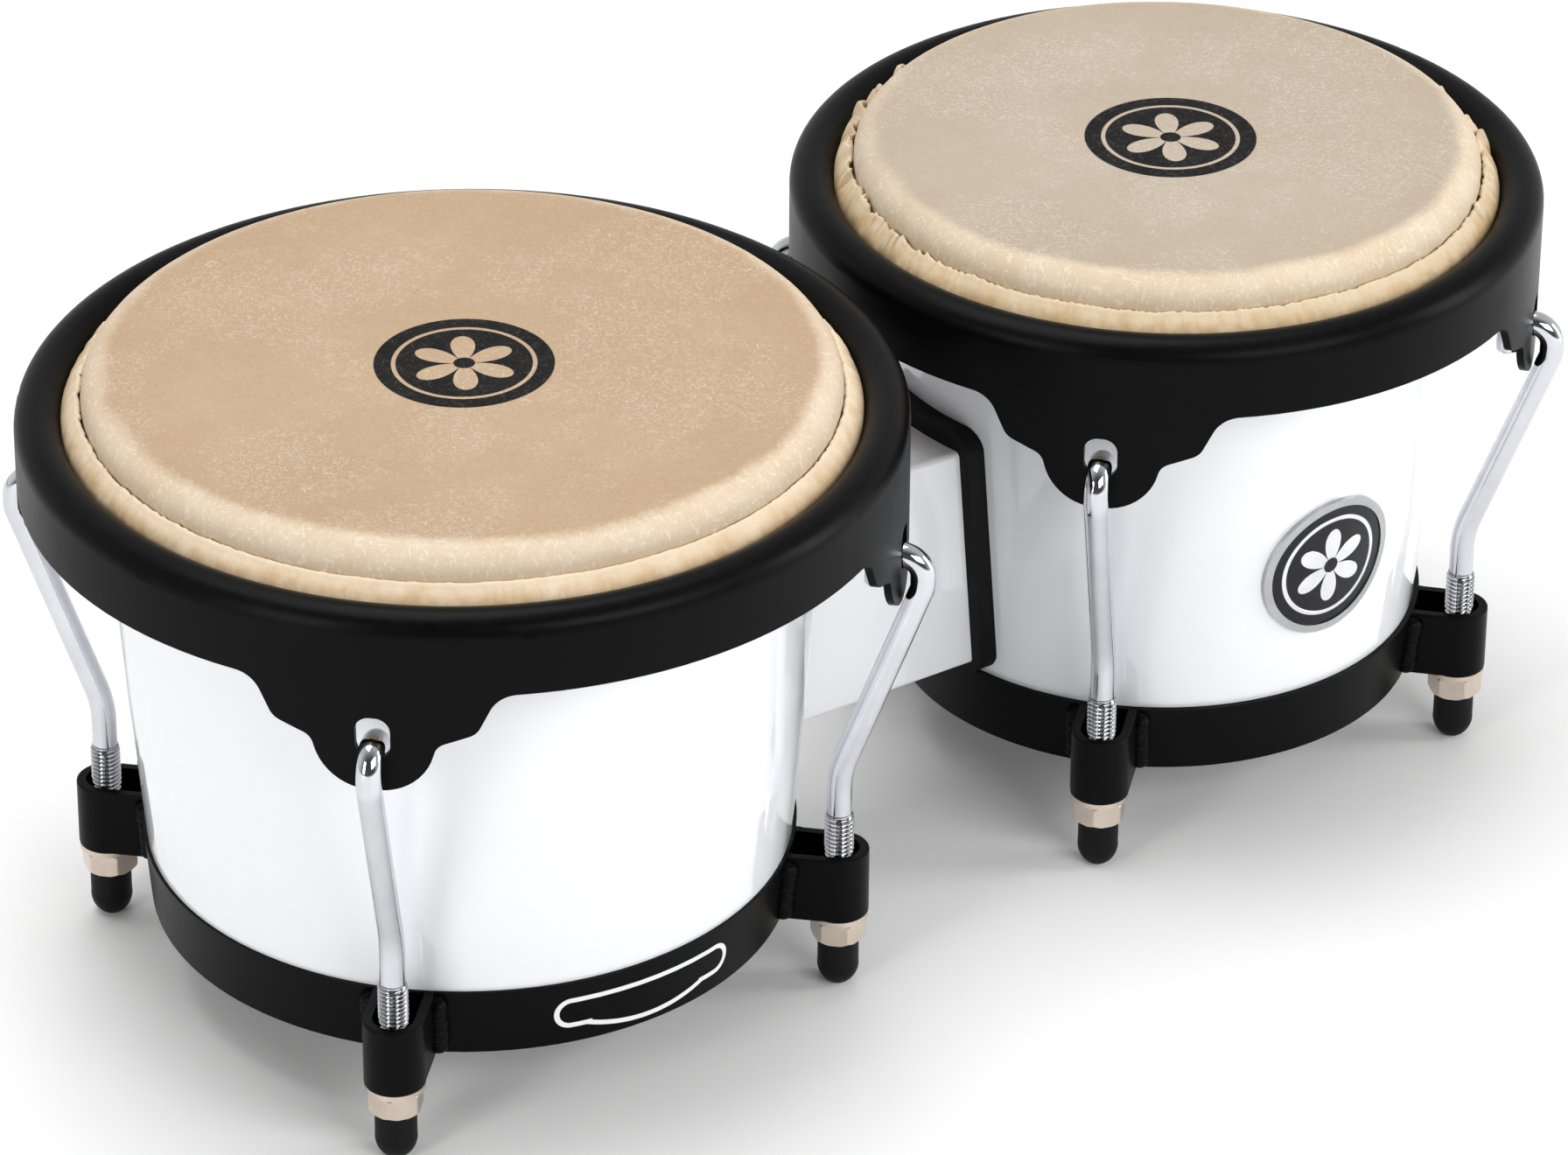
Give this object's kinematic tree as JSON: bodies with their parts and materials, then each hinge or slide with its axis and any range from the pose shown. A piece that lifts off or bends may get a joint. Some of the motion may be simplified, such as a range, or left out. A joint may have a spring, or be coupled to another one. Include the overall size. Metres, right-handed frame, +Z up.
{
  "type": "bongo drums",
  "caption": "Pair of tunable hand drums joined side by side: tapered gloss shells, natural skins, steel rims drawn down by bent tuning hooks with rubber feet.",
  "frame": {"origin": "on the floor at the middle of the pair's bounding box", "axes": "+X from the large drum to the small one, +Y away from the badge, +Z up"},
  "size_m": [0.435, 0.2264, 0.1765],
  "materials": {
    "shell": "gloss white",
    "block": "gloss white",
    "skin": "natural buffalo skin, matt",
    "black_steel": "satin black powder coat",
    "hoop_steel": "plain wire",
    "zinc_steel": "zinc plated",
    "chrome": "polished",
    "nickel": "warm nickel plate",
    "rubber": "matt",
    "badge_silver": "satin",
    "badge_face": "dark satin"
  },
  "bodies": {
    "root": {"large_shell": "shell", "large_head": "skin", "large_head_collar": "skin", "large_bottom_ring": "black_steel", "large_lug_brackets": "black_steel", "large_weld_beads": "black_steel", "large_washers": "nickel", "large_gasket": "rubber", "large_backing_plate": "zinc_steel", "large_bolt_saddles": "zinc_steel", "small_shell": "shell", "small_head": "skin", "small_head_collar": "skin", "small_bottom_ring": "black_steel", "small_lug_brackets": "black_steel", "small_weld_beads": "black_steel", "small_washers": "nickel", "small_gasket": "rubber", "small_backing_plate": "zinc_steel", "small_bolt_saddles": "zinc_steel", "joining_block": "block", "through_bolts": "zinc_steel", "bolt_locknuts": "zinc_steel", "badge_ring": "badge_silver", "badge_disc": "badge_face"},
    "large_rim_body": {"large_rim": "black_steel", "large_flesh_hoop": "hoop_steel", "large_skin_tuck": "skin"},
    "large_hook_1_body": {"large_hook_1": "chrome", "large_foot_1": "rubber"},
    "large_nut_1_body": {"large_nut_1": "nickel"},
    "large_hook_2_body": {"large_hook_2": "chrome", "large_foot_2": "rubber"},
    "large_nut_2_body": {"large_nut_2": "nickel"},
    "large_hook_3_body": {"large_hook_3": "chrome", "large_foot_3": "rubber"},
    "large_nut_3_body": {"large_nut_3": "nickel"},
    "large_hook_4_body": {"large_hook_4": "chrome", "large_foot_4": "rubber"},
    "large_nut_4_body": {"large_nut_4": "nickel"},
    "small_rim_body": {"small_rim": "black_steel", "small_flesh_hoop": "hoop_steel", "small_skin_tuck": "skin"},
    "small_hook_1_body": {"small_hook_1": "chrome", "small_foot_1": "rubber"},
    "small_nut_1_body": {"small_nut_1": "nickel"},
    "small_hook_2_body": {"small_hook_2": "chrome", "small_foot_2": "rubber"},
    "small_nut_2_body": {"small_nut_2": "nickel"},
    "small_hook_3_body": {"small_hook_3": "chrome", "small_foot_3": "rubber"},
    "small_nut_3_body": {"small_nut_3": "nickel"},
    "small_hook_4_body": {"small_hook_4": "chrome", "small_foot_4": "rubber"},
    "small_nut_4_body": {"small_nut_4": "nickel"}
  },
  "joints": [
    {"name": "large_rim_slide", "type": "slide", "parent": "root", "child": "large_rim_body", "axis": [0, 0, 1], "range_m": [-0.005, 0]},
    {"name": "large_hook_1_slide", "type": "slide", "parent": "root", "child": "large_hook_1_body", "axis": [0, 0, 1], "range_m": [-0.005, 0]},
    {"name": "large_nut_1_turn", "type": "hinge", "parent": "root", "child": "large_nut_1_body", "pos_m": [-0.17157, -0.07034, 0.01742], "axis": [0, 0, 1], "range_deg": [0, 1440.5]},
    {"name": "large_hook_2_slide", "type": "slide", "parent": "root", "child": "large_hook_2_body", "axis": [0, 0, 1], "range_m": [-0.005, 0]},
    {"name": "large_nut_2_turn", "type": "hinge", "parent": "root", "child": "large_nut_2_body", "pos_m": [-0.034, -0.06722, 0.01742], "axis": [0, 0, 1], "range_deg": [0, 1440.5]},
    {"name": "large_hook_3_slide", "type": "slide", "parent": "root", "child": "large_hook_3_body", "axis": [0, 0, 1], "range_m": [-0.005, 0]},
    {"name": "large_nut_3_turn", "type": "hinge", "parent": "root", "child": "large_nut_3_body", "pos_m": [-0.03713, 0.07034, 0.01742], "axis": [0, 0, 1], "range_deg": [0, 1440.5]},
    {"name": "large_hook_4_slide", "type": "slide", "parent": "root", "child": "large_hook_4_body", "axis": [0, 0, 1], "range_m": [-0.005, 0]},
    {"name": "large_nut_4_turn", "type": "hinge", "parent": "root", "child": "large_nut_4_body", "pos_m": [-0.17469, 0.06722, 0.01742], "axis": [0, 0, 1], "range_deg": [0, 1440.5]},
    {"name": "small_rim_slide", "type": "slide", "parent": "root", "child": "small_rim_body", "axis": [0, 0, 1], "range_m": [-0.005, 0]},
    {"name": "small_hook_1_slide", "type": "slide", "parent": "root", "child": "small_hook_1_body", "axis": [0, 0, 1], "range_m": [-0.005, 0]},
    {"name": "small_nut_1_turn", "type": "hinge", "parent": "root", "child": "small_nut_1_body", "pos_m": [0.0563, -0.05887, 0.01742], "axis": [0, 0, 1], "range_deg": [0, 1440.5]},
    {"name": "small_hook_2_slide", "type": "slide", "parent": "root", "child": "small_hook_2_body", "axis": [0, 0, 1], "range_m": [-0.005, 0]},
    {"name": "small_nut_2_turn", "type": "hinge", "parent": "root", "child": "small_nut_2_body", "pos_m": [0.17592, -0.06075, 0.01742], "axis": [0, 0, 1], "range_deg": [0, 1440.5]},
    {"name": "small_hook_3_slide", "type": "slide", "parent": "root", "child": "small_hook_3_body", "axis": [0, 0, 1], "range_m": [-0.005, 0]},
    {"name": "small_nut_3_turn", "type": "hinge", "parent": "root", "child": "small_nut_3_body", "pos_m": [0.1778, 0.05887, 0.01742], "axis": [0, 0, 1], "range_deg": [0, 1440.5]},
    {"name": "small_hook_4_slide", "type": "slide", "parent": "root", "child": "small_hook_4_body", "axis": [0, 0, 1], "range_m": [-0.005, 0]},
    {"name": "small_nut_4_turn", "type": "hinge", "parent": "root", "child": "small_nut_4_body", "pos_m": [0.05818, 0.06075, 0.01742], "axis": [0, 0, 1], "range_deg": [0, 1440.5]}
  ],
  "couplings": [
    {"joint": "large_hook_1_slide", "follows": "large_rim_slide", "ratio": 1},
    {"joint": "large_nut_1_turn", "follows": "large_rim_slide", "rad_per_m": -5026.5},
    {"joint": "large_hook_2_slide", "follows": "large_rim_slide", "ratio": 1},
    {"joint": "large_nut_2_turn", "follows": "large_rim_slide", "rad_per_m": -5026.5},
    {"joint": "large_hook_3_slide", "follows": "large_rim_slide", "ratio": 1},
    {"joint": "large_nut_3_turn", "follows": "large_rim_slide", "rad_per_m": -5026.5},
    {"joint": "large_hook_4_slide", "follows": "large_rim_slide", "ratio": 1},
    {"joint": "large_nut_4_turn", "follows": "large_rim_slide", "rad_per_m": -5026.5},
    {"joint": "small_hook_1_slide", "follows": "small_rim_slide", "ratio": 1},
    {"joint": "small_nut_1_turn", "follows": "small_rim_slide", "rad_per_m": -5026.5},
    {"joint": "small_hook_2_slide", "follows": "small_rim_slide", "ratio": 1},
    {"joint": "small_nut_2_turn", "follows": "small_rim_slide", "rad_per_m": -5026.5},
    {"joint": "small_hook_3_slide", "follows": "small_rim_slide", "ratio": 1},
    {"joint": "small_nut_3_turn", "follows": "small_rim_slide", "rad_per_m": -5026.5},
    {"joint": "small_hook_4_slide", "follows": "small_rim_slide", "ratio": 1},
    {"joint": "small_nut_4_turn", "follows": "small_rim_slide", "rad_per_m": -5026.5}
  ]
}
